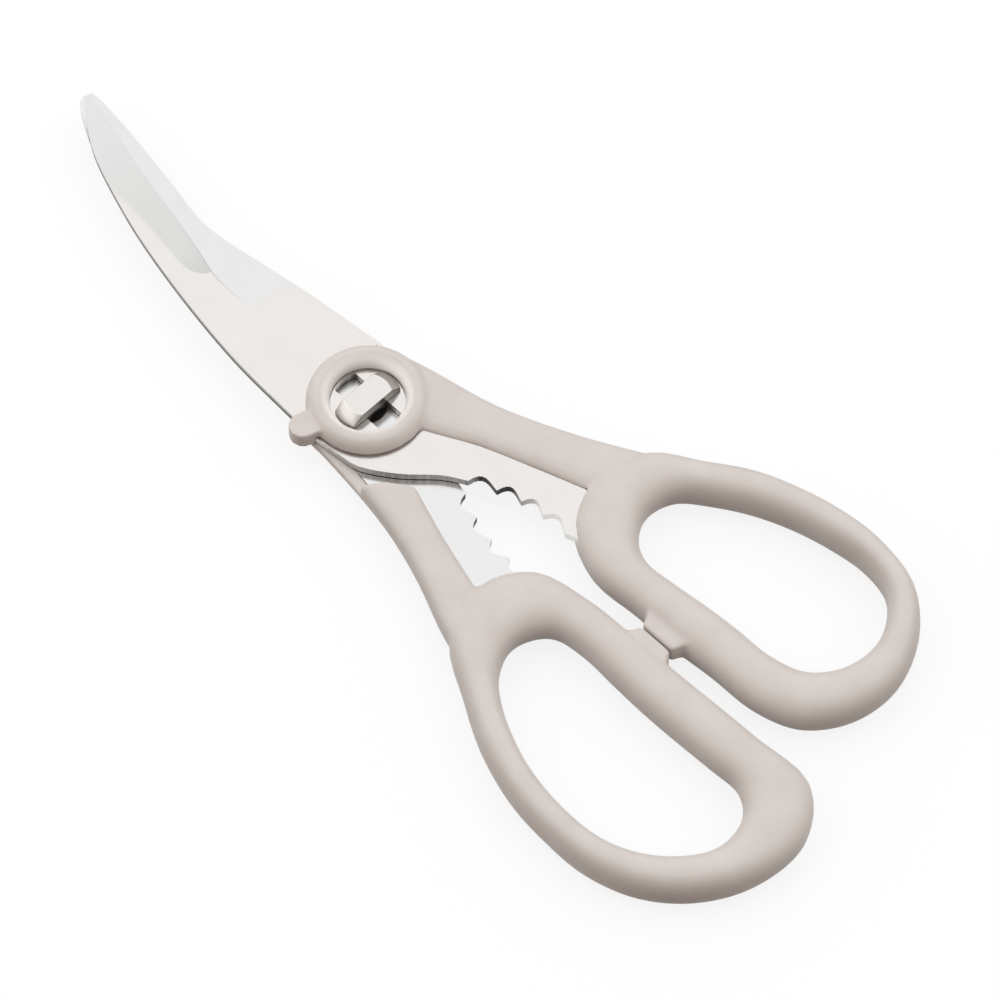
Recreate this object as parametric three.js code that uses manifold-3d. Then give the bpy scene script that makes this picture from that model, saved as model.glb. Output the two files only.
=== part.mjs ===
// Take-apart seafood scissors: two curved steel blades on one T-headed pin, each in a moulded loop handle.
// +X runs from the pivot to the blade tips, +Y to the rear handle's side and +Z up the pivot axis.
// The origin is on the pivot axis, on the flat face of the pin's riveted tail. Sizes are in millimetres.

import * as THREE from 'three';
import { mergeVertices } from 'three/addons/utils/BufferGeometryUtils.js';
import Module from 'manifold-3d';

const wasm = await Module();
wasm.setup();

// Main sizes: pivot axis to the blade tips, pivot axis to the end of the longer loop, and across both loops
const bladeLength = 92.7;
const handleLength = 124.1;
const handleSpread = 89.1;

// Blades and the gaps between the pieces
const bladeThickness = 1.8;
const shearGap = 0.2;
const mouldGap = 0.3;
const turnGap = 0.4;
const openAngle = 90;

// Ground surfaces of the blades
const edgeLand = 0.35;
const bevelSlope = 0.36;
const bevelFade = 0.35;
const grindOverrun = 0.5;
const tipOverrun = 2;
const hollowDepth = 0.35;
const hollowLand = 0.5;
const hollowWidth = 4;
const hollowFade = 0.35;

// Pivot pin: riveted tail, round neck and T-shaped head
const tailRadius = 5;
const tailHeight = 1.2;
const tailChamfer = 0.5;
const tailSeat = 0.1;
const pinRadius = 3.5;
const pinClearance = 0.1;
const headLength = 13.6;
const headWidth = 5.2;
const headHeight = 2.5;
const headChamferRun = 2.1;
const headChamferDrop = 1.7;
const headSeat = 0.1;
const slotClearance = 0.15;

// Half-round ring and rounded lug round the pivot, on the front handle
const ringRoom = 0.5;
const ringWidth = 4.8;
const ringHeight = 3.2;
const lugStandoff = 1.8;
const lugRadius = 2.8;
const lugHeight = 2.1;
const lugAngle = 72.5;

// Handles
const loopThickness = 10.4;
const loopSquareness = 2.3;
const armSkin = 1.5;
const armRootThickness = 8;
const armSquareness = 3;
const shoulderLean = 1.1;
const stopRise = 3.4;
const frontStopDepth = 1.6;
const rearStopDepth = 3.4;
const stopLength = 11;
const stopTaper = 1.7;
const stopPlace = 0.61;
const stopLine = -1.65;
const stopGap = 0.3;
const stopRoot = 4;

// Nut-cracker teeth
const toothDepth = 1.9;
const biteRoundness = 1.2;
const biteSkew = 0.75;

// Smoothness of the curves
const splineStep = 2;
const loopStations = 72;
const armStations = 20;
const sectionSides = 20;
const roundSides = 56;
const toothSteps = 8;
const archSteps = 6;
const hollowSteps = 6;
const mitreLimit = 0.5;
const weldGap = 1e-4;

// Sizes that the plans below are drawn to
const drawnBlade = 92.7;
const drawnHandle = 124.1;
const drawnSpread = 89.1;

// Plan of each blade from the root of its convex side, round the tip, to the root of its concave side
const frontBladePlan = [
  [8, 12.5], [25, 11.5], [42, 9], [58, 5.6], [70, 2], [80, -1.8], [87.5, -6.5], [91, -9.6],
  [91.5, -11], [89.8, -11.7], [80, -10.8], [66, -8.6], [54.5, -6.5], [48, -6.6], [36, -8.1], [16, -10.1],
  [8, -11],
];
const rearBladePlan = [
  [8, 11.8], [25, 10.7], [42, 8.2], [58, 4.9], [70, 1.4], [80, -2.2], [87, -5.6], [91.8, -8.6],
  [92.6, -9.8], [91.4, -10.8], [80, -10], [66, -7.9], [54.5, -5.8], [48, -5.9], [36, -7.4], [16, -9.4],
  [8, -10.3],
];

// Edge of the tang from the blade root to the first tooth, mirrored on the rear blade
const tangPlan = [[1.6, 12.6], [-4.7, 12.1], [-9.4, 11.2], [-15.9, 6.9], [-21.6, 1.6]];

// Tips of the teeth on each jaw
const frontJaw = [[-26.2, -1.2], [-31.6, -3.6], [-36.6, -5.2], [-41.6, -6], [-47.4, -6.1]];
const rearJaw = [[-27, 0.3], [-32.2, 2.4], [-37.6, 3.8], [-42.8, 4.2], [-47.8, 4.1]];

// Outer edge of each tang, inside its handle, from the pivot to the end of the tang
const frontTangBack = [
  [0, -10.9], [-9, -12], [-22, -15.4], [-36, -20.2], [-46, -24], [-50.5, -21], [-51, -7.4],
];
const rearTangBack = [[2, 11.4], [-9, 11.6], [-22, 14.2], [-36, 18.2], [-47, 21.4], [-52, 18], [-52, 8]];

// Lines where the ground bevels meet the flats of the blades
const frontBevelPlan = [
  [89.4, -10], [80, -7.9], [69, -5.2], [58.8, -3.1], [47.7, -0.4], [41, 1.2], [36, 0.9], [30.5, -2.4],
  [24.5, -9],
];
const rearBevelPlan = [
  [90, -9.2], [80, -6.2], [68, -2.4], [54, 1], [42, 2.8], [34, 4.4], [28, 7.4], [24, 10.2],
];
const hollowPlan = [
  [88.6, -8.3], [84, -4.8], [77, -1.3], [70, 0.9], [60, 2.8], [51.5, 3.9], [47, 3.9], [44.6, 3],
  [43.2, 1.6],
];

// Ribs of the handles, each from an inner to an outer edge point
const frontLoopRibs = [
  [-55, -21, -42.6, -19.6], [-56.5, -27.2, -46, -29.9], [-61.9, -31.8, -54.9, -36],
  [-68.5, -35.7, -63.1, -41.4], [-75.8, -38.7, -72, -44.8], [-83.8, -40.7, -81.4, -46.9],
  [-91.5, -41.6, -90.8, -47.3], [-98.3, -40.2, -101.8, -44.8], [-102.7, -36, -109.8, -37.4],
  [-105.2, -29.9, -113.8, -27.2], [-104.3, -22.7, -112.6, -16.8], [-99.8, -16.8, -106.7, -8.5],
  [-92.6, -14.6, -97.5, -5], [-85.1, -14.4, -87.2, -4.6], [-77.3, -13.9, -77.6, -3.9],
  [-69.8, -13, -67.8, -4.1], [-63, -12.7, -56.6, -3.8], [-57.7, -15.6, -46.6, -9],
];
const rearLoopRibs = [
  [-57, 17.2, -43.6, 13.4], [-59.5, 23.6, -47.5, 25], [-64.8, 28.1, -57.7, 31.6],
  [-71.2, 31.4, -67.7, 37], [-78.7, 34, -78.3, 40.4], [-87.9, 35.3, -88.1, 41.5],
  [-96.4, 34.9, -98.7, 41.2], [-103.4, 32.3, -109.2, 37.6], [-109.6, 27.3, -117.7, 30.3],
  [-113.3, 20.8, -123, 20.2], [-112.2, 13.5, -123.6, 8.4], [-107.2, 9.5, -116.3, -0.6],
  [-100.4, 9.5, -103.5, -0.5], [-92.2, 9.8, -93, -0.2], [-83.5, 9.9, -82.3, 0.2],
  [-75.2, 9.6, -71.5, 0.4], [-67.5, 9.2, -60.5, 0.9], [-60.4, 10.6, -48.9, 3.8],
];
const frontArmRibs = [
  [-6, -0.8, 9, -10.6], [-12.4, -2.6, -2.4, -13.8], [-22.7, -8, -18, -17.1], [-34.8, -12.4, -31.9, -22.6],
  [-43.1, -15.2, -42.4, -27.9], [-51, -17.6, -49.4, -31.8],
];
const rearArmRibs = [
  [3.5, 9.4, 3.5, 12.7], [-11, 7.8, -11.4, 14.5], [-20.1, 7.1, -22.8, 16.6], [-31.9, 10.7, -33.6, 19.9],
  [-44.5, 14.2, -43.6, 24.1], [-51, 15.6, -50.6, 26.4],
];

// Foot of the shoulder where each arm rises past the other blade, from its jaw side to its outer side
const frontShoulder = [[-19.2, -7.2], [-11.3, -12]];
const rearShoulder = [[-19.2, 7.2], [-11.3, 12]];

// Heights that follow from the sizes
const rearBottom = tailHeight + tailSeat;
const rearTop = rearBottom + bladeThickness;
const frontBottom = rearTop + shearGap;
const frontTop = frontBottom + bladeThickness;
const midPlane = rearTop + shearGap / 2;
const headBottom = frontTop + headSeat;
const armThickness = 2 * (frontTop - midPlane + mouldGap + armSkin);
const ringInner = headLength / 2 + ringRoom;
const ringOuter = ringInner + ringWidth;
const ringCrest = ringInner + ringWidth / 2;
const ringTop = frontTop + ringHeight;
const lugCentre = ringOuter + lugStandoff;
const lugReach = lugCentre + lugRadius;
const stopMiddle = -stopPlace * handleLength;
const farReach = 200;

const planPoints = (rows) => rows.map(([x, y]) => new THREE.Vector2(x, y));

// Points of a drawn plan, brought to the main sizes
function drawn(rows) {
  const ahead = bladeLength / drawnBlade;
  const behind = handleLength / drawnHandle;
  const across = handleSpread / drawnSpread;
  return rows.map(([x, y]) => new THREE.Vector2(x * (x > 0 ? ahead : behind), y * across));
}

const turned = (points, angle) => points.map((p) => p.clone().rotateAround(new THREE.Vector2(), angle));

function smoothLine(rows) {
  const curve = new THREE.SplineCurve(drawn(rows));
  return curve.getSpacedPoints(Math.ceil(curve.getLength() / splineStep));
}

function toSolid(geometry) {
  const bare = new THREE.BufferGeometry();
  bare.setAttribute('position', geometry.getAttribute('position'));
  bare.setIndex(geometry.index);
  const merged = mergeVertices(bare, weldGap);
  const corners = merged.index.array;
  const triangles = [];
  for (let i = 0; i < corners.length; i += 3) {
    const [a, b, c] = [corners[i], corners[i + 1], corners[i + 2]];
    if (a !== b && b !== c && c !== a) triangles.push(a, b, c);
  }
  return new wasm.Manifold(new wasm.Mesh({
    numProp: 3,
    vertProperties: new Float32Array(merged.getAttribute('position').array),
    triVerts: new Uint32Array(triangles),
  }));
}

function toGeometry(solid) {
  const mesh = solid.getMesh();
  const geometry = new THREE.BufferGeometry();
  geometry.setAttribute('position', new THREE.BufferAttribute(new Float32Array(mesh.vertProperties), 3));
  geometry.setIndex(new THREE.BufferAttribute(new Uint32Array(mesh.triVerts), 1));
  geometry.computeVertexNormals();
  return geometry;
}

// Flat plate with the given plan between two heights
function plate(points, low, high) {
  const shape = new THREE.Shape(points);
  const geometry = new THREE.ExtrudeGeometry(shape, { depth: high - low, bevelEnabled: false });
  return toSolid(geometry.translate(0, 0, low));
}

// Solid of revolution about the pivot axis, from a closed profile of radius and height
function revolved(profile) {
  const geometry = new THREE.LatheGeometry(planPoints([...profile, profile[0]]), roundSides);
  return toSolid(geometry.rotateX(Math.PI / 2));
}

function disc(radius, low, high) {
  return revolved([[0, low], [radius, low], [radius, high], [0, high]]);
}

// Skin through a row of rings with equal counts of points, capped unless the row closes on itself
function loft(rings, closed) {
  const sides = rings[0].length;
  const spans = closed ? rings.length : rings.length - 1;
  const index = [];
  for (let i = 0; i < spans; i += 1) {
    const near = i * sides;
    const far = ((i + 1) % rings.length) * sides;
    for (let j = 0; j < sides; j += 1) {
      const k = (j + 1) % sides;
      index.push(near + j, far + j, far + k, near + j, far + k, near + k);
    }
  }
  const last = (rings.length - 1) * sides;
  for (let j = 1; j < sides - 1 && !closed; j += 1) {
    index.push(0, j, j + 1, last, last + j + 1, last + j);
  }
  const points = rings.flat();
  let volume = 0;
  for (let i = 0; i < index.length; i += 3) {
    const [a, b, c] = [points[index[i]], points[index[i + 1]], points[index[i + 2]]];
    volume += a.dot(b.clone().cross(c));
  }
  const geometry = new THREE.BufferGeometry().setFromPoints(points);
  geometry.setIndex(volume > 0 ? index : index.reverse());
  return toSolid(geometry);
}

// Rounded cross-section that spans from one edge point to another, astride the middle plane
function ribSection(inner, outer, thickness, squareness) {
  const ring = [];
  for (let i = 0; i < sectionSides; i += 1) {
    const angle = (2 * Math.PI * i) / sectionSides;
    const across = Math.sign(Math.cos(angle)) * Math.abs(Math.cos(angle)) ** (2 / squareness);
    const up = Math.sign(Math.sin(angle)) * Math.abs(Math.sin(angle)) ** (2 / squareness);
    const point = inner.clone().lerp(outer, (1 + across) / 2);
    ring.push(point.setZ(midPlane + (up * thickness) / 2));
  }
  return ring;
}

function ribCurves(ribs, closed) {
  const edges = [ribs.map((rib) => rib.slice(0, 2)), ribs.map((rib) => rib.slice(2))];
  return edges.map((rows) => {
    const points = drawn(rows).map((point) => new THREE.Vector3(point.x, point.y, 0));
    return new THREE.CatmullRomCurve3(points, closed, 'catmullrom');
  });
}

function fingerLoop(ribs) {
  const [inner, outer] = ribCurves(ribs, true);
  const rings = [];
  for (let i = 0; i < loopStations; i += 1) {
    const along = i / loopStations;
    rings.push(ribSection(inner.getPoint(along), outer.getPoint(along), loopThickness, loopSquareness));
  }
  return loft(rings, true);
}

function handleArm(ribs) {
  const [inner, outer] = ribCurves(ribs, false);
  const rings = [];
  for (let i = 0; i <= armStations; i += 1) {
    const along = i / armStations;
    const thickness = THREE.MathUtils.lerp(armThickness, armRootThickness, along ** 2);
    rings.push(ribSection(inner.getPoint(along), outer.getPoint(along), thickness, armSquareness));
  }
  return loft(rings, false);
}

// Plan moved outwards all round by a distance
function grown(points, distance) {
  const outline = THREE.ShapeUtils.area(points) > 0 ? points : [...points].reverse();
  return outline.map((point, i) => {
    const before = outline[(i + outline.length - 1) % outline.length];
    const after = outline[(i + 1) % outline.length];
    const into = point.clone().sub(before).normalize();
    const out = after.clone().sub(point).normalize();
    const side = into.clone().add(out).normalize();
    const spread = Math.max(mitreLimit, side.dot(into));
    return point.clone().add(new THREE.Vector2(side.y, -side.x).multiplyScalar(distance / spread));
  });
}

// Wavy jaw: round bites between the tips of the teeth
function jawLine(rows, biteSide) {
  const tips = drawn(rows);
  const bites = tips.length - 1;
  const line = [];
  for (let i = 0; i <= bites * toothSteps; i += 1) {
    const tooth = Math.min(Math.floor(i / toothSteps), bites - 1);
    const along = tips[tooth + 1].clone().sub(tips[tooth]);
    const share = i / toothSteps - tooth;
    const deep = new THREE.Vector2(-along.y, along.x).setLength(biteSide * toothDepth);
    const point = tips[tooth].clone().addScaledVector(along, share);
    line.push(point.addScaledVector(deep, Math.abs(Math.sin(Math.PI * share ** biteSkew)) ** biteRoundness));
  }
  return line;
}

const mirrored = (rows) => rows.map(([x, y]) => [x, -y]);

function frontPlan() {
  const jaw = jawLine(frontJaw, 1).reverse();
  const tang = smoothLine([frontBladePlan[0], ...tangPlan, frontJaw[0]]).reverse();
  const back = smoothLine([frontBladePlan.at(-1), ...frontTangBack]);
  return [...smoothLine(frontBladePlan), ...back.slice(1), ...jaw, ...tang.slice(1, -1)];
}

function rearPlan() {
  const blade = smoothLine(rearBladePlan);
  const tang = smoothLine([rearBladePlan.at(-1), ...mirrored(tangPlan), rearJaw[0]]);
  const back = smoothLine([rearBladePlan[0], ...rearTangBack]).reverse();
  return [...blade, ...tang.slice(1, -1), ...jawLine(rearJaw, -1), ...back.slice(0, -1)];
}

const frontOutline = frontPlan();
const rearOutline = rearPlan();

function nearestOn(points, target) {
  const found = new THREE.Vector2(farReach, farReach);
  for (let i = 1; i < points.length; i += 1) {
    const along = points[i].clone().sub(points[i - 1]);
    const share = target.clone().sub(points[i - 1]).dot(along) / along.lengthSq();
    const foot = points[i - 1].clone().addScaledVector(along, THREE.MathUtils.clamp(share, 0, 1));
    if (foot.distanceTo(target) < found.distanceTo(target)) found.copy(foot);
  }
  return found;
}

// Wedge to grind away between a cutting edge and the line where its bevel meets the flat of the blade.
// The grind runs out at its pivot end. upward is 1 on a blade's upper face and -1 on its lower face.
function bevelWedge(lineRows, edge, flat, upward) {
  const line = smoothLine(lineRows);
  const rings = line.map((from, i) => {
    const left = 1 - i / line.length;
    const to = nearestOn(edge, from);
    const depth = Math.min(bladeThickness - edgeLand, bevelSlope * from.distanceTo(to));
    const sink = depth * THREE.MathUtils.smoothstep(left, 0, bevelFade);
    const within = from.clone().lerp(to, -grindOverrun);
    const beyond = from.clone().lerp(to, 1 + grindOverrun);
    return [
      new THREE.Vector3(within.x, within.y, flat + upward * grindOverrun * sink),
      new THREE.Vector3(from.x, from.y, flat),
      new THREE.Vector3(beyond.x, beyond.y, flat - upward * (1 + grindOverrun) * sink),
      new THREE.Vector3(beyond.x, beyond.y, flat + upward * bladeThickness),
    ];
  });
  const past = line[0].clone().sub(line[1]).multiplyScalar(tipOverrun);
  const tipRing = rings[0].map((point) => point.clone().add(new THREE.Vector3(past.x, past.y, 0)));
  return loft([tipRing, ...rings], false);
}

// Shallow round hollow beside the front bevel, from its outer line to a narrow land along the bevel
function hollowScoop() {
  const bevelLine = smoothLine(frontBevelPlan);
  const outer = smoothLine(hollowPlan);
  const rings = outer.map((from, i) => {
    const ridge = nearestOn(bevelLine, from);
    const width = Math.max(hollowLand, ridge.distanceTo(from) - hollowLand);
    const to = from.clone().addScaledVector(ridge.sub(from).normalize(), width);
    const sink = THREE.MathUtils.smoothstep(i / outer.length, 0, hollowFade);
    const sag = hollowDepth * sink * Math.min(1, width / hollowWidth);
    const ring = [to, from].map((point) => new THREE.Vector3(point.x, point.y, frontTop + bladeThickness));
    for (let step = 0; step <= hollowSteps; step += 1) {
      const share = step / hollowSteps;
      const point = from.clone().lerp(to, share);
      ring.push(new THREE.Vector3(point.x, point.y, frontTop - sag * Math.sin(Math.PI * share)));
    }
    return ring;
  });
  return loft(rings, false);
}

// Keyhole in the front blade: a round bearing and two wings that let the T-head through at full opening
function keyhole() {
  const reach = headLength / 2 + slotClearance;
  const low = frontBottom - bladeThickness;
  const high = frontTop + bladeThickness;
  const slot = bar(2 * reach, headWidth + 2 * slotClearance, low, high);
  return disc(reach, low, high).intersect(slot).add(disc(pinRadius + pinClearance, low, high));
}

// Straight bar across the pivot, along X by its length
function bar(length, width, low, high) {
  const [x, y] = [length / 2, width / 2];
  return plate(planPoints([[-x, -y], [x, -y], [x, y], [-x, y]]), low, high);
}

function frontBlade() {
  const blade = smoothLine(frontBladePlan);
  const tip = blade.reduce((best, point, i) => (point.x > blade[best].x ? i : best), 0);
  return plate(frontOutline, frontBottom, frontTop)
    .subtract(bevelWedge(frontBevelPlan, blade.slice(tip), frontTop, 1))
    .subtract(hollowScoop())
    .subtract(keyhole());
}

function rearBlade() {
  const blade = smoothLine(rearBladePlan);
  const tip = blade.reduce((best, point, i) => (point.x > blade[best].x ? i : best), 0);
  return plate(rearOutline, rearBottom, rearTop)
    .subtract(bevelWedge(rearBevelPlan, blade.slice(0, tip + 1), rearBottom, -1))
    .subtract(disc(pinRadius + pinClearance, 0, frontBottom));
}

// Turned pin with a riveted tail below the rear blade and two flats on its head and the neck under it
function pivotPin() {
  const headTop = headBottom + headHeight;
  const headRadius = headLength / 2;
  const stem = revolved([
    [0, 0], [tailRadius - tailChamfer, 0], [tailRadius, tailChamfer], [tailRadius, tailHeight],
    [pinRadius, tailHeight], [pinRadius, rearTop], [0, rearTop],
  ]);
  const neck = disc(pinRadius, rearBottom, headBottom);
  const head = revolved([
    [0, headBottom], [headRadius, headBottom], [headRadius, headTop - headChamferDrop],
    [headRadius - headChamferRun, headTop], [0, headTop],
  ]);
  return stem.add(neck.add(head).intersect(bar(headWidth, headLength, rearBottom, headTop)));
}

// Part of the ring's arched profile, counted in steps from its outer foot over the crest to its inner foot
function ringProfile(first, last) {
  const profile = [];
  for (let i = first; i <= last; i += 1) {
    const angle = (Math.PI * i) / (2 * archSteps);
    profile.push([ringCrest + (ringWidth / 2) * Math.cos(angle), frontTop + ringHeight * Math.sin(angle)]);
  }
  return profile;
}

// Half-round ring that stands on the front blade
function pivotRing() {
  return revolved(ringProfile(0, 2 * archSteps));
}

// Space inside the ring's crest, which the arm leaves free
function ringDish() {
  return revolved([[0, 0], ...ringProfile(archSteps, 2 * archSteps).reverse(), [0, ringTop]]);
}

function spineLug() {
  const plan = [new THREE.Vector2(ringCrest, -lugRadius)];
  for (let i = 0; i <= archSteps * 2; i += 1) {
    const angle = Math.PI * (i / (archSteps * 2) - 0.5);
    plan.push(new THREE.Vector2(lugCentre + lugRadius * Math.cos(angle), lugRadius * Math.sin(angle)));
  }
  plan.push(new THREE.Vector2(ringCrest, lugRadius));
  return plate(turned(plan, THREE.MathUtils.degToRad(lugAngle)), frontBottom, frontTop + lugHeight);
}

// Block between the loops that stops the closing stroke, from its contact face to inside its loop
function stopBlock(face, root, depth) {
  const foot = stopLength / 2;
  const tip = foot - stopTaper;
  const plan = planPoints([[-tip, face], [tip, face], [foot, root], [-foot, root]]);
  plan.forEach((point) => point.setX(point.x + stopMiddle));
  return plate(plan, midPlane - depth, midPlane + stopRise);
}

// Everything on the pivot's side of a shoulder, which leans away from the pivot as it leaves its foot line
function shoulderCut(rows, foot, upward) {
  const [near, far] = drawn(rows);
  const along = far.clone().sub(near).setLength(farReach);
  const inward = new THREE.Vector2(-along.y, along.x);
  if (inward.dot(near) > 0) inward.negate();
  const ends = [near.clone().sub(along), far.clone().add(along)];
  const plan = [...ends, ends[1].clone().add(inward), ends[0].clone().add(inward)];
  const lean = inward.clone().setLength(-shoulderLean * armThickness);
  const low = plan.map((point) => new THREE.Vector3(point.x, point.y, foot));
  const high = plan.map((point) => {
    const leaning = point.clone().add(lean);
    return new THREE.Vector3(leaning.x, leaning.y, foot + upward * armThickness);
  });
  return loft([low, high], false);
}

// Space that a blade sweeps at rest and at full opening
function bladeRelief(outline, angle, low, high) {
  const wide = grown(outline, turnGap);
  return plate(wide, low, high).add(plate(turned(wide, THREE.MathUtils.degToRad(angle)), low, high));
}

function frontHandle() {
  const below = -farReach;
  const arm = handleArm(frontArmRibs)
    .subtract(ringDish())
    .subtract(shoulderCut(frontShoulder, frontBottom, -1));
  const face = stopLine - stopGap / 2;
  return fingerLoop(frontLoopRibs)
    .add(arm)
    .add(pivotRing())
    .add(spineLug())
    .add(stopBlock(face, face - stopRoot, frontStopDepth))
    .subtract(plate(grown(frontOutline, mouldGap), frontBottom - mouldGap, frontTop + mouldGap))
    .subtract(bladeRelief(rearOutline, -openAngle, below, frontBottom));
}

function rearHandle() {
  const arm = handleArm(rearArmRibs).subtract(shoulderCut(rearShoulder, rearTop, 1));
  const face = stopLine + stopGap / 2;
  return fingerLoop(rearLoopRibs)
    .add(arm)
    .add(stopBlock(face, face + stopRoot, rearStopDepth))
    .subtract(plate(grown(rearOutline, mouldGap), rearBottom - mouldGap, rearTop + mouldGap))
    .subtract(disc(lugReach + turnGap, rearTop, farReach))
    .subtract(bladeRelief(frontOutline, openAngle, rearTop, farReach));
}

function piece(name, solid, color, metalness, roughness) {
  const material = new THREE.MeshStandardMaterial({ color, metalness, roughness });
  const mesh = new THREE.Mesh(toGeometry(solid), material);
  mesh.name = name;
  return mesh;
}

const steelColour = 0xd9d7d4;
const plasticColour = 0xd3c9c3;

const rearHalf = new THREE.Group();
rearHalf.add(piece('rear_blade', rearBlade(), steelColour, 1, 0.25));
rearHalf.add(piece('rear_handle', rearHandle(), plasticColour, 0, 0.55));
rearHalf.add(piece('pivot_pin', pivotPin(), steelColour, 1, 0.3));

const frontHalf = new THREE.Group();
frontHalf.add(piece('front_blade', frontBlade(), steelColour, 1, 0.25));
frontHalf.add(piece('front_handle', frontHandle(), plasticColour, 0, 0.55));

const scissors = new THREE.Group();
scissors.add(rearHalf, frontHalf);

export default scissors;
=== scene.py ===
import math
import bpy
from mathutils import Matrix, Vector


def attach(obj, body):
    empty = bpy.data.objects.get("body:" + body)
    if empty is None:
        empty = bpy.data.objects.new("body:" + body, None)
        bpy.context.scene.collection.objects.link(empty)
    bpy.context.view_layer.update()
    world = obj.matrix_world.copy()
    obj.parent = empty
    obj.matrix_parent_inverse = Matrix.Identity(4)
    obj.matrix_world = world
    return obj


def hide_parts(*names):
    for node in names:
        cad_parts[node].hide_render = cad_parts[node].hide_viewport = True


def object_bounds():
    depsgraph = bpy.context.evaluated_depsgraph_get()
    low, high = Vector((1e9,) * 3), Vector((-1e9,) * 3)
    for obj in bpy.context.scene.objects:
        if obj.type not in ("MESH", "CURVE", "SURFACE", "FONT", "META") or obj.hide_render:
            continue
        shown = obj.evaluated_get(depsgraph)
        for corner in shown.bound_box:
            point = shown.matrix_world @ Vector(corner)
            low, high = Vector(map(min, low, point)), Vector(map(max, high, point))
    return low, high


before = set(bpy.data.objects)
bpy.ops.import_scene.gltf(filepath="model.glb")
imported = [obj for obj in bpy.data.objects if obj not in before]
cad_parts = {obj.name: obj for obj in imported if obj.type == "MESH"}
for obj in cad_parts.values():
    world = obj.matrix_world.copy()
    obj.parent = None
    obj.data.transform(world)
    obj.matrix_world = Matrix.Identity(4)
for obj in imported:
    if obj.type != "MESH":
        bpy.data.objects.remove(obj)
cadLow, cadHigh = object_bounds()
scene = bpy.context.scene
mm = 0.001
weldReach = 0.002 * mm
sameHeight = 0.001 * mm


# selection and modifier helpers

def deselectAll():
    if bpy.context.object and bpy.context.object.mode != "OBJECT":
        bpy.ops.object.mode_set(mode="OBJECT")
    bpy.ops.object.select_all(action="DESELECT")


def makeActive(piece):
    deselectAll()
    piece.select_set(True)
    bpy.context.view_layer.objects.active = piece


def useModifier(piece, kind, **settings):
    makeActive(piece)
    modifier = piece.modifiers.new(kind.lower(), kind)
    for key, value in settings.items():
        setattr(modifier, key, value)
    bpy.ops.object.modifier_apply(modifier=modifier.name)


def copyOfNode(nodeName, pieceName):
    # a CAD node's mesh is loose triangles, so the copy is welded first
    piece = bpy.data.objects.new(pieceName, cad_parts[nodeName].data.copy())
    piece.data.name = pieceName
    scene.collection.objects.link(piece)
    piece.data.materials.clear()
    makeActive(piece)
    bpy.ops.object.mode_set(mode="EDIT")
    bpy.ops.mesh.select_all(action="SELECT")
    bpy.ops.mesh.customdata_custom_splitnormals_clear()
    bpy.ops.mesh.remove_doubles(threshold=weldReach)
    bpy.ops.object.mode_set(mode="OBJECT")
    return piece


def standIn(piece, nodeName, body):
    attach(piece, body)
    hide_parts(nodeName)


# shader sockets with plain arithmetic

class Field:
    def __init__(self, finish, socket):
        self.finish = finish
        self.socket = socket

    def calc(self, operation, first, second):
        return self.finish.node("ShaderNodeMath", {"operation": operation}, {0: first, 1: second})

    def __add__(self, other):
        return self.calc("ADD", self, other)

    def __radd__(self, other):
        return self.calc("ADD", other, self)

    def __sub__(self, other):
        return self.calc("SUBTRACT", self, other)

    def __rsub__(self, other):
        return self.calc("SUBTRACT", other, self)

    def __mul__(self, other):
        return self.calc("MULTIPLY", self, other)

    def __rmul__(self, other):
        return self.calc("MULTIPLY", other, self)

    def __truediv__(self, other):
        return self.calc("DIVIDE", self, other)

    def __rtruediv__(self, other):
        return self.calc("DIVIDE", other, self)


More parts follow.
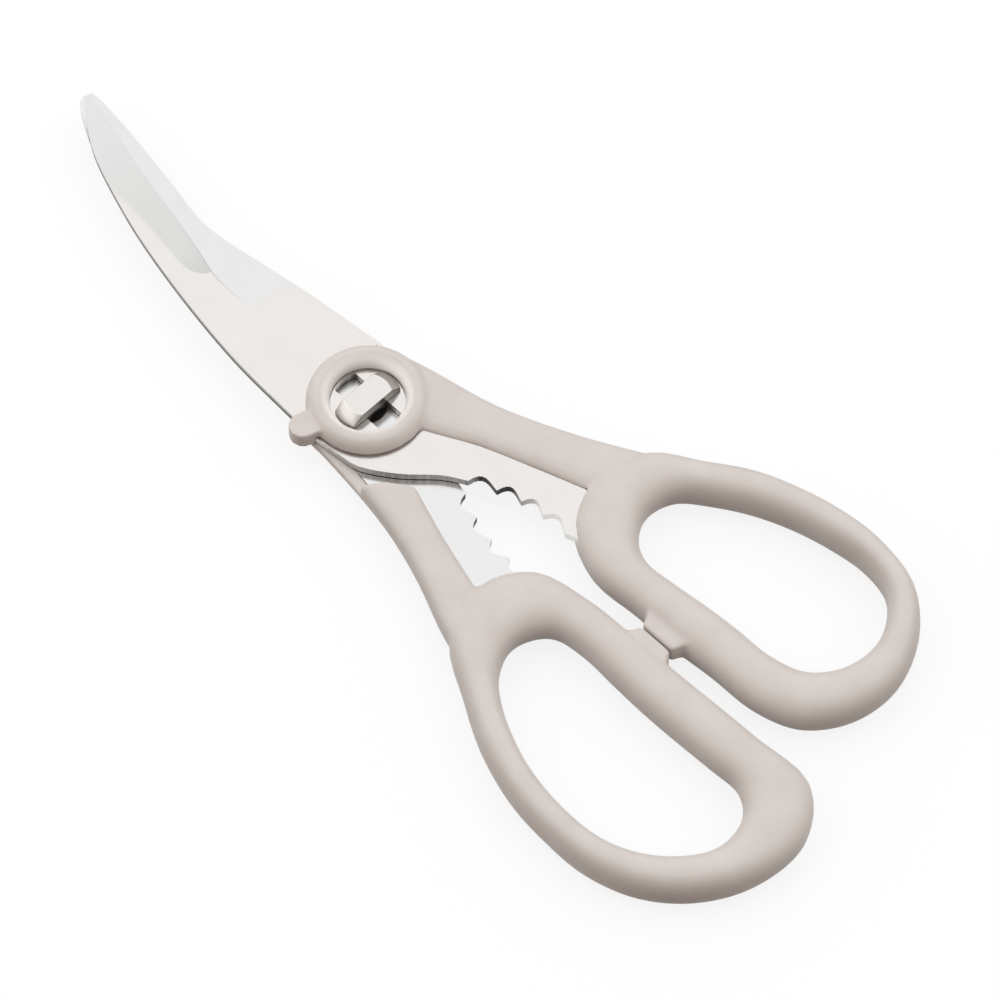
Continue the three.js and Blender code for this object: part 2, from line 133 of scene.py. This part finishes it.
class Finish:
    def __init__(self, name, store=bpy.data.materials):
        self.owner = store.new(name)
        self.owner.use_nodes = True
        self.tree = self.owner.node_tree
        self.tree.nodes.clear()

    def node(self, kind, settings=None, sockets=None, out=0):
        made = self.tree.nodes.new(kind)
        for key, value in (settings or {}).items():
            setattr(made, key, value)
        for key, value in (sockets or {}).items():
            if isinstance(value, Field):
                self.tree.links.new(value.socket, made.inputs[key])
            else:
                made.inputs[key].default_value = value
        return Field(self, made.outputs[out])

    def where(self, location=(0, 0, 0), turn=(0, 0, 0), stretch=(1, 1, 1)):
        spot = self.node("ShaderNodeTexCoord", out="Object")
        return self.node("ShaderNodeMapping", {}, {
            "Vector": spot, "Location": location, "Rotation": turn, "Scale": stretch})

    def noise(self, where, scale, detail=2.0, rough=0.5):
        return self.node("ShaderNodeTexNoise", {}, {
            "Vector": where, "Scale": scale, "Detail": detail, "Roughness": rough})

    def span(self, value, low, high, outLow, outHigh, kind="LINEAR"):
        return self.node("ShaderNodeMapRange", {"clamp": True, "interpolation_type": kind}, {
            "Value": value, "From Min": low, "From Max": high, "To Min": outLow, "To Max": outHigh})

    def spot(self):
        # place on the part in millimetres
        place = self.node("ShaderNodeSeparateXYZ", {}, {0: self.where(stretch=(1000, 1000, 1000))})
        parts = place.socket.node.outputs
        return [Field(self, parts[axis]) for axis in ("X", "Y", "Z")]

    def curve(self, value, points, low, high):
        # line through plan points, each (along, height), as a height over the given value
        first, last = points[0][0], points[-1][0]
        made = self.node("ShaderNodeFloatCurve", {}, {"Value": (value - first) / (last - first)})
        mapping = made.socket.node.mapping
        line = mapping.curves[0]
        for along, height in points[1:-1]:
            line.points.new((along - first) / (last - first), (height - low) / (high - low))
        line.points[0].location = (0, (points[0][1] - low) / (high - low))
        line.points[-1].location = (1, (points[-1][1] - low) / (high - low))
        mapping.update()
        return made * (high - low) + low

    def blendColour(self, share, first, second):
        return self.node("ShaderNodeMix", {"data_type": "RGBA"}, {0: share, 6: first, 7: second}, out=2)

    def bump(self, height, depth, strength):
        return self.node("ShaderNodeBump", {}, {
            "Height": height, "Distance": depth, "Strength": strength})

    def surface(self, **sockets):
        return self.end(self.node("ShaderNodeBsdfPrincipled", {}, sockets))

    def seen(self):
        # 1 for rays that show the white surround: from the camera, off metal, through glass
        rays = ("Is Camera Ray", "Is Glossy Ray", "Is Transmission Ray")
        camera, glossy, through = [self.node("ShaderNodeLightPath", out=ray) for ray in rays]
        return camera + glossy + through

    def end(self, shader, output="ShaderNodeOutputMaterial"):
        self.tree.links.new(shader.socket, self.tree.nodes.new(output).inputs["Surface"])
        return self.owner


def shade(red, green, blue):
    # screen colour, 0 to 255, as the linear colour that a shader takes
    parts = []
    for level in (red, green, blue):
        part = level / 255
        parts.append(part / 12.92 if part <= 0.04045 else ((part + 0.055) / 1.055) ** 2.4)
    return (*parts, 1)


# camera at the photograph's angle
cameraPlace = {
    "at": (-350.9, 314.9, 782.6), "towards": (-32.7, -3.3, 3.2),
    "lens": 169.8, "sensor": 36, "clipStart": 0.01, "clipEnd": 20,
}


def makeCamera(place):
    cameraData = bpy.data.cameras.new("productCamera")
    camera = bpy.data.objects.new("productCamera", cameraData)
    scene.collection.objects.link(camera)
    camera.location = Vector(place["at"]) * mm
    sight = (Vector(place["towards"]) - Vector(place["at"])).normalized()
    camera.rotation_mode = "QUATERNION"
    camera.rotation_quaternion = sight.to_track_quat("-Z", "Y")
    cameraData.lens = place["lens"]
    cameraData.sensor_width = place["sensor"]
    cameraData.clip_start = place["clipStart"]
    cameraData.clip_end = place["clipEnd"]
    scene.camera = camera


makeCamera(cameraPlace)
print("camera placed")


# greige plastic with a fine spark-eroded mould texture
plasticLook = {
    "pale": shade(213, 206, 201), "deep": shade(208, 200, 195),
    "cloudScale": 140, "cloudRange": (0.3, 0.7),
    "grainScale": 2600, "grainDepth": 0.00003, "grainStrength": 0.35,
    "roughRange": (0.7, 1.3), "roughLow": 0.42, "roughHigh": 0.52, "shine": 0.28,
    # painted reflected light on the ring's inner wall
    "boreLightTone": shade(250, 245, 240), "boreLightRange": (8.0, 9.2),
}


def handlePlastic(look):
    finish = Finish("handlePlastic")
    place = finish.where()
    cloud = finish.noise(place, look["cloudScale"], 3)
    grain = finish.noise(place, look["grainScale"])
    colour = finish.blendColour(finish.span(cloud, *look["cloudRange"], 0, 1), look["pale"], look["deep"])
    # painted reflected light: paler inside the ring, where the steel throws light back
    x, y = finish.spot()[:2]
    reach = finish.node("ShaderNodeMath", {"operation": "SQRT"}, {0: x * x + y * y})
    boreLightShare = finish.span(reach, *look["boreLightRange"], 1, 0)
    colour = finish.blendColour(boreLightShare, colour, look["boreLightTone"])
    rough = finish.span(grain + cloud, *look["roughRange"], look["roughLow"], look["roughHigh"])
    return finish.surface(**{
        "Base Color": colour, "Roughness": rough, "Specular IOR Level": look["shine"],
        "Normal": finish.bump(grain, look["grainDepth"], look["grainStrength"])})


# steel finishes: lapped flats, ground bevels and hollow, sheared walls, turned pin; painted shade on walls,
# neck and head flats
steelNoise = {"range": (0.35, 0.65), "main": 0.6, "side": 0.4, "hazeScale": 200, "strength": 0.4}
bladeLook = {
    "flat": (0.456, 0.426, 0.404, 1), "bevel": (0.436, 0.427, 0.416, 1), "hollow": (0.388, 0.382, 0.362, 1),
    # the end tone below is painted shade at the deep end of the hollow panel
    "rear": (0.451, 0.442, 0.432, 1), "endShadeTone": (0.34, 0.335, 0.317, 1),
    "lineShade": 0.96, "lineTurn": 1.2, "hazeScale": 160, "stretch": (90, 5200, 5200),
    "depth": 0.000002, "strength": 0.3, "roughLow": 0.16, "roughHigh": 0.22, "wearScale": 60, "wearShare": 0.3,
    "ridge": [(20, 1.7), (34.1, 1.35), (41, 1.2), (47.7, -0.4), (58.8, -3.1), (69, -5.2), (80, -7.9),
              (92, -10.6)],
    "panel": [(42.9, 0.9), (43.4, 1.9), (44.8, 3.1), (47, 3.9), (51.5, 4), (58, 3.3), (64, 2.8), (70, 2.4),
              (77, 0.8), (84, -3), (92, -9)],
    "panelFrom": 42.6, "reach": (-14, 10), "ridgeCrisp": 0.14, "panelCrisp": 0.15, "panelSoft": 1.6,
    "softRange": (46, 54), "endShadeFade": (43, 51), "tipFade": (60, 84), "tipShare": 0.7,
    # the ridge line settings below paint shade as a dark line along the ridge
    "ridgeShadeWidth": 0.2, "ridgeShadeTone": 0.72, "ridgeShadeRange": (32, 42, 48, 60), "ridgeShadeLeft": 0.15,
    "bevelFrom": 24, "bevelFull": 36, "bevelEdge": (-0.05, 0.1),
}
wallLook = {
    # wall tones: painted shade in the first bites of the jaw and on the blade walls past the pivot
    "pale": (0.60, 0.58, 0.565, 1), "deep": (0.45, 0.435, 0.42, 1), "biteShade": (0.012, 0.011, 0.010, 1),
    "paleBites": (0.74, 0.73, 0.72, 1), "biteShadeRange": (-39, -34, -27, -25.5), "paleBitesRange": (-40, -35),
    "spineTopTone": (0.44, 0.42, 0.40, 1), "spineShadeFade": (4.0, 4.6),
    "spineRange": (2, 8), "spineShade": (0.10, 0.095, 0.09, 1),
    "stretch": (1800, 1800, 120), "depth": 0.00001, "roughLow": 0.34, "roughHigh": 0.5,
}
pinLook = {
    "pale": (0.444, 0.416, 0.392, 1), "deep": (0.434, 0.407, 0.382, 1),
    "stretch": (1400, 1400, 1400), "depth": 0.000001, "roughLow": 0.28, "roughHigh": 0.34,
}
# painted shade: the head's milled side flats are darkened
milledShadeLook = {
    "pale": (0.25, 0.238, 0.226, 1), "deep": (0.15, 0.142, 0.134, 1),
    "stretch": (300, 300, 4000), "depth": 0.000006, "roughLow": 0.3, "roughHigh": 0.42,
}
# painted shade: the neck, in shadow under the T-head, is near-black
neckShadeLook = {
    "pale": (0.03, 0.028, 0.026, 1), "deep": (0.012, 0.011, 0.010, 1),
    "stretch": (300, 300, 4000), "depth": 0.00001, "roughLow": 0.3, "roughHigh": 0.45,
}


def polished(finish, tone, look):
    # lapping lines and haze over a tone
    turned = finish.where(turn=(0, 0, look["lineTurn"]), stretch=look["stretch"])
    lines = finish.noise(turned, 1, 3)
    haze = finish.noise(finish.where(), look["hazeScale"], 3)
    main, side = steelNoise["main"], steelNoise["side"]
    shadeShare = finish.span(lines * main + haze * side, *steelNoise["range"], 0, 1)
    dim = look["lineShade"]
    dimmed = finish.node("ShaderNodeMix", {"data_type": "RGBA", "blend_type": "MULTIPLY"}, {
        0: shadeShare, 6: tone, 7: (dim, dim, dim, 1)}, out=2)
    rough = finish.span(lines * side + haze * main, *steelNoise["range"], look["roughLow"], look["roughHigh"])
    return finish.surface(**{
        "Base Color": dimmed, "Metallic": 1.0, "Roughness": rough,
        "Normal": finish.bump(lines, look["depth"], look["strength"])})


def frontFinish(look):
    # hollow panel and bevel either side of the ridge, over the warm flat
    finish = Finish("frontSteel")
    x, y = finish.spot()[:2]
    low, high = look["reach"]
    over = y - finish.curve(x, look["ridge"], low, high)
    under = finish.curve(x, look["panel"], low, high) - y
    crisp, soft = look["panelCrisp"], look["panelSoft"]
    edge = finish.span(x, *look["softRange"], crisp, soft)
    inPanel = finish.span(under / edge, 0, 1, 0, 1, "SMOOTHSTEP")
    pastRidge = finish.span(over, 0, look["ridgeCrisp"], 0, 1)
    pastEnd = finish.span(x, look["panelFrom"], look["panelFrom"] + crisp, 0, 1)
    hollow = inPanel * pastRidge * pastEnd
    onBevel = finish.span(over, *look["bevelEdge"], 1, 0)
    bevel = onBevel * finish.span(x, look["bevelFrom"], look["bevelFull"], 0, 1, "SMOOTHSTEP")
    # painted shade: a dark line along the ridge, between the panel and the bevel
    apart = finish.node("ShaderNodeMath", {"operation": "ABSOLUTE"}, {0: over})
    near = finish.span(apart, 0, look["ridgeShadeWidth"], 1, 0)
    first, full, ending, last = look["ridgeShadeRange"]
    line = near * finish.span(x, first, full, 0, 1) * finish.span(x, ending, last, 1, look["ridgeShadeLeft"])
    ground = finish.blendColour(bevel, look["flat"], look["bevel"])
    # painted shade: the hollow panel is darker towards its deep end
    deep = finish.blendColour(finish.span(x, *look["endShadeFade"], 0, 1), look["endShadeTone"], look["hollow"])
    sunk = finish.blendColour(finish.span(x, *look["tipFade"], 0, look["tipShare"]), deep, look["bevel"])
    tone = finish.blendColour(hollow, ground, sunk)
    ridgeShadeColour = [part * look["ridgeShadeTone"] for part in look["hollow"][:3]]
    return polished(finish, finish.blendColour(line, tone, (*ridgeShadeColour, 1)), look)


def rearFinish(look):
    finish = Finish("rearSteel")
    cloud = finish.noise(finish.where(), look["wearScale"])
    wear = finish.span(cloud, *steelNoise["range"], 0, look["wearShare"])
    return polished(finish, finish.blendColour(wear, look["rear"], look["flat"]), look)


def wallFinish(look):
    # sheared walls; painted shade: black in the first bites of the jaw, dark past the pivot below a paler top
    # band; paler in the last bites
    finish = Finish("wallSteel")
    place = finish.spot()
    x, z = place[0], place[2]
    lines = finish.noise(finish.where(stretch=look["stretch"]), 1, 3)
    plain = finish.blendColour(finish.span(lines, *steelNoise["range"], 0, 1), look["pale"], look["deep"])
    first, full, ending, last = look["biteShadeRange"]
    biteShade = finish.span(x, first, full, 0, 1) * finish.span(x, ending, last, 1, 0)
    paleBites = finish.span(x, *look["paleBitesRange"], 1, 0)
    onBlade = finish.span(x, *look["spineRange"], 0, 1)
    spineShade = finish.blendColour(finish.span(z, *look["spineShadeFade"], 0, 1), look["spineShade"], look["spineTopTone"])
    handleEnd = finish.blendColour(biteShade, finish.blendColour(paleBites, plain, look["paleBites"]), look["biteShade"])
    colour = finish.blendColour(onBlade, handleEnd, spineShade)
    rough = finish.span(lines, *steelNoise["range"], look["roughLow"], look["roughHigh"])
    return finish.surface(**{
        "Base Color": colour, "Metallic": 1.0, "Roughness": rough,
        "Normal": finish.bump(lines, look["depth"], steelNoise["strength"])})


def steelFinish(name, look):
    finish = Finish(name)
    lines = finish.noise(finish.where(stretch=look["stretch"]), 1, 3)
    haze = finish.noise(finish.where(), steelNoise["hazeScale"])
    colour = finish.blendColour(finish.span(lines, *steelNoise["range"], 0, 1), look["pale"], look["deep"])
    mixed = lines * steelNoise["main"] + haze * steelNoise["side"]
    rough = finish.span(mixed, *steelNoise["range"], look["roughLow"], look["roughHigh"])
    return finish.surface(**{
        "Base Color": colour, "Metallic": 1.0, "Roughness": rough,
        "Normal": finish.bump(lines, look["depth"], steelNoise["strength"])})


plastic = handlePlastic(plasticLook)
frontSteel = frontFinish(bladeLook)
rearSteel = rearFinish(bladeLook)
wallSteel = wallFinish(wallLook)
pinSteel = steelFinish("pinSteel", pinLook)
milledShadeSteel = steelFinish("milledShadeSteel", milledShadeLook)
neckShadeSteel = steelFinish("neckShadeSteel", neckShadeLook)
print("finishes mixed")


# moulded handles: the solid's form with the soft edges of a moulding, closed up against the steel
handles = {
    "front_handle": {
        "piece": "front_handle_moulding", "body": "front_half",
        "low": 3.35, "high": 5.5, "inset": 0.55, "deep": 5.5, "strip": [], "shoulder": [],
        "mouth": [(-9, -1.2), (-12.4, -2.6), (-22.7, -8), (-34.8, -12.4), (-43.4, -15.3), (-44.4, -12.6),
                  (-46.6, -9), (-50.5, -6.3)],
    },
    "rear_handle": {
        "piece": "rear_handle_moulding", "body": "rear_half",
        "low": 1.2, "high": 3.5, "inset": 0.25, "deep": 5.5,
        "mouth": [(-50, 3.2), (-47.6, 5.2), (-44.8, 10), (-44, 14.1), (-31.9, 10.7), (-20.1, 7.1)],
        "strip": [(-18, 13.2), (-13.8, 12.35), (-7.7, 11.55), (2.5, 11.75)],
        "shoulder": [(-13.3, 13.8), (-15.7, 10.7), (-20, 7.7), (-21.4, 6.7)],
    },
}
arm = {
    "inner": [(-31.9, 10.7), (-20.1, 7.1), (-11, 7.8)],
    "outer": [(-33.6, 19.9), (-22.8, 16.6), (-11.4, 14.5)],
    "middle": 3.2, "half": 3.7, "roundPower": 3, "crispPower": 7, "crispFrom": -26, "crispTo": -21,
    "far": -27, "near": -13.1, "upLimit": 0.1, "pressFrom": -12.9, "pressTop": 3.05,
    "stripLow": 1.2, "stripHigh": 3.08, "stripInset": -0.2, "stripDeep": 1.6,
}
moulding = {
    "voxel": 0.0004, "softRounds": 24, "crispRounds": 3, "smoothFactor": 0.5, "overlap": 0.2,
    "softFrom": -46, "softTo": -60, "stopMiddle": (-75.7, -1.65), "stopReach": (6.6, 4.6), "stopFade": 2.5,
    "stopShare": 0.35, "footInner": 7.45, "footOuter": 11.95, "footLow": 4.9, "footHigh": 5.7, "footSides": 96,
    "lugAngle": 72.5, "lugFrom": 11, "lugTo": 14.4, "lugWidth": 4.4, "lugLow": 3.4, "lugHigh": 6.9,
}


def addBlock(centre, size, turn):
    deselectAll()
    bpy.ops.mesh.primitive_cube_add(size=1, location=Vector(centre) * mm, rotation=(0, 0, turn))
    block = bpy.context.object
    block.scale = Vector(size) * mm
    bpy.ops.object.transform_apply(location=True, rotation=True, scale=True)
    return block


def fillBeside(line, inset, deep, low, high):
    # blocks along the left of a plan line, to close the pocket round the steel
    blocks = []
    points = [Vector(point) for point in line]
    for start, end in zip(points, points[1:]):
        along = (end - start).normalized()
        inward = Vector((-along.y, along.x))
        middle = (start + end) / 2 + inward * (inset + deep / 2)
        size = ((end - start).length + moulding["overlap"], deep, high - low)
        blocks.append(addBlock((middle.x, middle.y, (low + high) / 2), size, math.atan2(along.y, along.x)))
    return blocks


def fillRing():
    # foot that seats the ring on the blade, and the root of the lug
    tall = moulding["footHigh"] - moulding["footLow"]
    deselectAll()
    bpy.ops.mesh.primitive_cylinder_add(
        vertices=moulding["footSides"], radius=moulding["footOuter"] * mm, depth=tall * mm,
        end_fill_type="NOTHING", location=(0, 0, (moulding["footLow"] + tall / 2) * mm))
    foot = bpy.context.object
    bpy.ops.object.transform_apply(location=True, rotation=True, scale=True)
    useModifier(foot, "SOLIDIFY", thickness=(moulding["footOuter"] - moulding["footInner"]) * mm, offset=-1)
    turn = math.radians(moulding["lugAngle"])
    lugFrom, lugTo = moulding["lugFrom"], moulding["lugTo"]
    lugLow, lugHigh = moulding["lugLow"], moulding["lugHigh"]
    reach = (lugFrom + lugTo) / 2
    centre = (reach * math.cos(turn), reach * math.sin(turn), (lugLow + lugHigh) / 2)
    size = (lugTo - lugFrom, moulding["lugWidth"], lugHigh - lugLow)
    return [foot, addBlock(centre, size, turn)]


def ease(value, low, high):
    share = min(1, max(0, (value - low) / (high - low)))
    return share * share * (3 - 2 * share)


def lineAt(line, x):
    for (x0, y0), (x1, y1) in zip(line, line[1:]):
        if x <= x1:
            break
    return y0 + (y1 - y0) * (x - x0) / (x1 - x0)


def raiseShoulder(piece, line):
    # the arm keeps its full height up to the shoulder line
    points = [Vector(point) for point in line]
    for vertex in piece.data.vertices:
        x, y, z = vertex.co / mm
        if vertex.normal.z < arm["upLimit"] or z < arm["middle"] or not arm["far"] < x < arm["near"]:
            continue
        behind = True
        for start, end in zip(points, points[1:]):
            along = end - start
            behind = behind and along.x * (y - start.y) - along.y * (x - start.x) < 0
        inner, outer = lineAt(arm["inner"], x), lineAt(arm["outer"], x)
        across = (2 * y - inner - outer) / (outer - inner)
        power = arm["roundPower"]
        if across < 0:
            power += (arm["crispPower"] - power) * ease(x, arm["crispFrom"], arm["crispTo"])
        if behind and abs(across) < 1:
            crown = arm["half"] * (1 - abs(across) ** power) ** (1 / power)
            vertex.co.z = max(z, arm["middle"] + crown) * mm


def pressStrip(piece):
    # the strip before the shoulder stays under the front blade when that stands open
    for vertex in piece.data.vertices:
        if vertex.co.x > arm["pressFrom"] * mm:
            vertex.co.z = min(vertex.co.z, arm["pressTop"] * mm)


def mouldHandle(nodeName, plan):
    piece = copyOfNode(nodeName, plan["piece"])
    fillers = fillBeside(plan["mouth"], plan["inset"], plan["deep"], plan["low"], plan["high"])
    fillers += fillBeside(
        plan["strip"], arm["stripInset"], arm["stripDeep"], arm["stripLow"], arm["stripHigh"])
    fillers += fillRing() if nodeName == "front_handle" else []
    makeActive(piece)
    for filler in fillers:
        filler.select_set(True)
    bpy.ops.object.join()
    useModifier(piece, "REMESH", mode="VOXEL", voxel_size=moulding["voxel"], use_smooth_shade=True)
    if plan["shoulder"]:
        raiseShoulder(piece, plan["shoulder"])
        useModifier(piece, "REMESH", mode="VOXEL", voxel_size=moulding["voxel"], use_smooth_shade=True)
    soft = piece.vertex_groups.new(name="soft")
    for vertex in piece.data.vertices:
        x, y = vertex.co.xy / mm
        onLoop = ease(x, moulding["softFrom"], moulding["softTo"])
        beside = max(abs(x - moulding["stopMiddle"][0]) - moulding["stopReach"][0],
                     abs(y - moulding["stopMiddle"][1]) - moulding["stopReach"][1])
        stopShare = moulding["stopShare"]
        share = stopShare + (1 - stopShare) * ease(beside, 0, moulding["stopFade"])
        soft.add([vertex.index], onLoop * share, "REPLACE")
    factor = moulding["smoothFactor"]
    useModifier(piece, "SMOOTH", factor=factor, iterations=moulding["softRounds"], vertex_group="soft")
    useModifier(piece, "SMOOTH", factor=factor, iterations=moulding["crispRounds"])
    piece.vertex_groups.clear()
    if plan["shoulder"]:
        pressStrip(piece)
    makeActive(piece)
    bpy.ops.object.shade_smooth()
    piece.data.materials.clear()
    piece.data.materials.append(plastic)
    standIn(piece, nodeName, plan["body"])
    print(plan["piece"], len(piece.data.polygons), "faces")


for nodeName, plan in handles.items():
    mouldHandle(nodeName, plan)


# ground blades: lapped faces with slightly broken edges, and sheared walls
blades = {
    "front_blade": {"piece": "front_blade_ground", "body": "front_half", "steel": frontSteel},
    "rear_blade": {"piece": "rear_blade_ground", "body": "rear_half", "steel": rearSteel},
}
grinding = {
    "edgeRound": 0.0001, "wallLimit": 0.35, "flatAngle": 0.3, "edgeAngle": 50, "smoothAngle": 18,
    "normalWeight": 80,
}


def grindBlade(nodeName, plan):
    piece = copyOfNode(nodeName, plan["piece"])
    makeActive(piece)
    bpy.ops.object.mode_set(mode="EDIT")
    bpy.ops.mesh.select_all(action="SELECT")
    bpy.ops.mesh.dissolve_limited(angle_limit=math.radians(grinding["flatAngle"]))
    bpy.ops.object.mode_set(mode="OBJECT")
    useModifier(piece, "BEVEL", width=grinding["edgeRound"], segments=2, limit_method="ANGLE",
                angle_limit=math.radians(grinding["edgeAngle"]), harden_normals=False)
    piece.data.materials.append(plan["steel"])
    piece.data.materials.append(wallSteel)
    for face in piece.data.polygons:
        face.material_index = 0 if abs(face.normal.z) > grinding["wallLimit"] else 1
    makeActive(piece)
    bpy.ops.object.shade_smooth_by_angle(angle=math.radians(grinding["smoothAngle"]))
    useModifier(piece, "WEIGHTED_NORMAL", keep_sharp=True, weight=grinding["normalWeight"])
    standIn(piece, nodeName, plan["body"])
    print(plan["piece"], len(piece.data.polygons), "faces")


for nodeName, plan in blades.items():
    grindBlade(nodeName, plan)


# turned pivot pin: T-head with two flats, neck and riveted tail
pin = {
    "piece": "pivot_pin_turned", "tailRadius": 5, "tailHeight": 1.2, "tailChamfer": 0.5,
    "neckRadius": 3.5, "neckFlats": 3.1, "neckTop": 5.25, "headRadius": 6.8, "headWidth": 5.2,
    "headBottom": 5.2, "headTop": 7.7, "chamferRun": 2.1, "chamferDrop": 1.7, "edgeRound": 0.18,
    "sides": 128, "flatLimit": 0.95, "overlap": 0.05, "margin": 0.01,
    "edgeAngle": 25, "smoothAngle": 30, "normalWeight": 80,
}


def addDrum(name, radius, low, high, sides):
    deselectAll()
    bpy.ops.mesh.primitive_cylinder_add(
        vertices=sides, radius=radius * mm, depth=(high - low) * mm, location=(0, 0, (low + high) / 2 * mm))
    drum = bpy.context.object
    drum.name = name
    bpy.ops.object.transform_apply(location=True, rotation=True, scale=True)
    return drum


def selectRim(piece, height):
    # the ring of edges that lies at one height
    makeActive(piece)
    bpy.ops.object.mode_set(mode="EDIT")
    bpy.ops.mesh.select_mode(type="EDGE")
    bpy.ops.mesh.select_all(action="DESELECT")
    bpy.ops.object.mode_set(mode="OBJECT")
    points = piece.data.vertices
    for edge in piece.data.edges:
        edge.select = all(abs(points[corner].co.z - height * mm) < sameHeight for corner in edge.vertices)
    bpy.ops.object.mode_set(mode="EDIT")


def selectTop(piece, height):
    # the flat face at one height
    makeActive(piece)
    bpy.ops.object.mode_set(mode="EDIT")
    bpy.ops.mesh.select_mode(type="FACE")
    bpy.ops.mesh.select_all(action="DESELECT")
    bpy.ops.object.mode_set(mode="OBJECT")
    for face in piece.data.polygons:
        face.select = face.normal.z > 0.99 and abs(face.center.z - height * mm) < sameHeight
    bpy.ops.object.mode_set(mode="EDIT")


def millFlats(piece, width):
    makeActive(piece)
    bpy.ops.object.mode_set(mode="EDIT")
    for side in (1, -1):
        bpy.ops.mesh.select_all(action="SELECT")
        bpy.ops.mesh.bisect(plane_co=(side * width / 2 * mm, 0, 0), plane_no=(side, 0, 0),
                            use_fill=True, clear_outer=True)
    bpy.ops.object.mode_set(mode="OBJECT")


def turnPin(plan):
    tail = addDrum(plan["piece"], plan["tailRadius"], 0, plan["tailHeight"], plan["sides"])
    selectRim(tail, 0)
    bpy.ops.mesh.bevel(offset=plan["tailChamfer"] * mm, segments=1)
    bpy.ops.object.mode_set(mode="OBJECT")
    useModifier(tail, "BEVEL", width=plan["edgeRound"] * mm, segments=2, limit_method="ANGLE",
                angle_limit=math.radians(plan["edgeAngle"]))
    stemLow, neckLow = plan["tailHeight"] - plan["overlap"], plan["neckFlats"] - plan["overlap"]
    stem = addDrum("stem", plan["neckRadius"], stemLow, plan["neckFlats"], plan["sides"])
    neck = addDrum("neck", plan["neckRadius"], neckLow, plan["neckTop"], plan["sides"])
    millFlats(neck, plan["headWidth"])
    shoulder = plan["headTop"] - plan["chamferDrop"]
    head = addDrum("head", plan["headRadius"], plan["headBottom"], shoulder, plan["sides"])
    selectTop(head, shoulder)
    topScale = 1 - plan["chamferRun"] / plan["headRadius"]
    bpy.ops.mesh.extrude_region_move(TRANSFORM_OT_translate={"value": (0, 0, plan["chamferDrop"] * mm)})
    bpy.ops.transform.resize(value=(topScale, topScale, 1), center_override=(0, 0, 0))
    millFlats(head, plan["headWidth"])
    useModifier(head, "BEVEL", width=plan["edgeRound"] * mm, segments=3, limit_method="ANGLE",
                angle_limit=math.radians(plan["edgeAngle"]))
    deselectAll()
    for part in (stem, neck, head, tail):
        part.select_set(True)
    bpy.context.view_layer.objects.active = tail
    bpy.ops.object.join()
    tail.data.materials.clear()
    tail.data.materials.append(pinSteel)
    tail.data.materials.append(neckShadeSteel)
    tail.data.materials.append(milledShadeSteel)
    # the neck and the head's milled flats take steels with painted shade
    for face in tail.data.polygons:
        height, margin = face.center.z / mm, plan["margin"]
        onNeck = plan["tailHeight"] + margin < height < plan["headBottom"] - margin
        onFlat = height > plan["headBottom"] and abs(face.normal.x) > plan["flatLimit"]
        face.material_index = 1 if onNeck else 2 if onFlat else 0
    makeActive(tail)
    bpy.ops.object.shade_smooth_by_angle(angle=math.radians(plan["smoothAngle"]))
    useModifier(tail, "WEIGHTED_NORMAL", keep_sharp=True, weight=plan["normalWeight"])
    standIn(tail, "pivot_pin", "rear_half")
    print(plan["piece"], len(tail.data.polygons), "faces")


turnPin(pin)


# pale floor and soft studio light
studio = {
    "floorSize": 6, "floorGap": 0.0001, "floorBounce": (0.12, 0.085, 0.06, 1), "shadowShare": 0.15,
    "worldColour": (0.262, 0.224, 0.19, 1), "keyColour": (0.97, 1.02, 1.075),
    "softboxes": [
        {"name": "keySoftbox", "towards": (0.354, -0.354, 0.866), "away": 1.5, "size": 3.2, "power": 23.8},
        {"name": "leftSoftbox", "towards": (0.53, 0.67, 0.5), "away": 1.6, "size": 2.2, "power": 13.6},
        {"name": "rightSoftbox", "towards": (-0.67, -0.53, 0.5), "away": 1.6, "size": 2.2, "power": 11.6},
    ],
}


def makeFloor(plan):
    deselectAll()
    bpy.ops.mesh.primitive_plane_add(size=plan["floorSize"], location=(0, 0, cadLow.z - plan["floorGap"]))
    floor = bpy.context.object
    floor.name = "studioFloor"
    finish = Finish("floorPaper")
    seen = finish.seen()
    colour = finish.blendColour(seen, plan["floorBounce"], (1, 1, 1, 1))
    paper = finish.node("ShaderNodeBsdfDiffuse", {}, {"Color": colour})
    white = finish.node("ShaderNodeEmission", {}, {"Color": (1, 1, 1, 1), "Strength": 1})
    share = seen * (1 - plan["shadowShare"])
    shown = finish.node("ShaderNodeMixShader", {}, {0: share, 1: paper, 2: white})
    floor.data.materials.append(finish.end(shown))


def makeLight(plan):
    sky = Finish("studioWorld", bpy.data.worlds)
    colour = sky.blendColour(sky.seen(), plan["worldColour"], (1, 1, 1, 1))
    surround = sky.node("ShaderNodeBackground", {}, {"Color": colour, "Strength": 1})
    scene.world = sky.end(surround, "ShaderNodeOutputWorld")
    for box in plan["softboxes"]:
        lampData = bpy.data.lights.new(box["name"], "AREA")
        lampData.shape = "DISK"
        lampData.size = box["size"]
        lampData.energy = box["power"]
        if box["name"] == "keySoftbox":
            lampData.color = plan["keyColour"]
        lamp = bpy.data.objects.new(box["name"], lampData)
        scene.collection.objects.link(lamp)
        towards = Vector(box["towards"]).normalized()
        lamp.location = towards * box["away"]
        lamp.rotation_mode = "QUATERNION"
        lamp.rotation_quaternion = (-towards).to_track_quat("-Z", "Y")


makeFloor(studio)
makeLight(studio)
scene.view_settings.view_transform = "Standard"
print("studio lit")
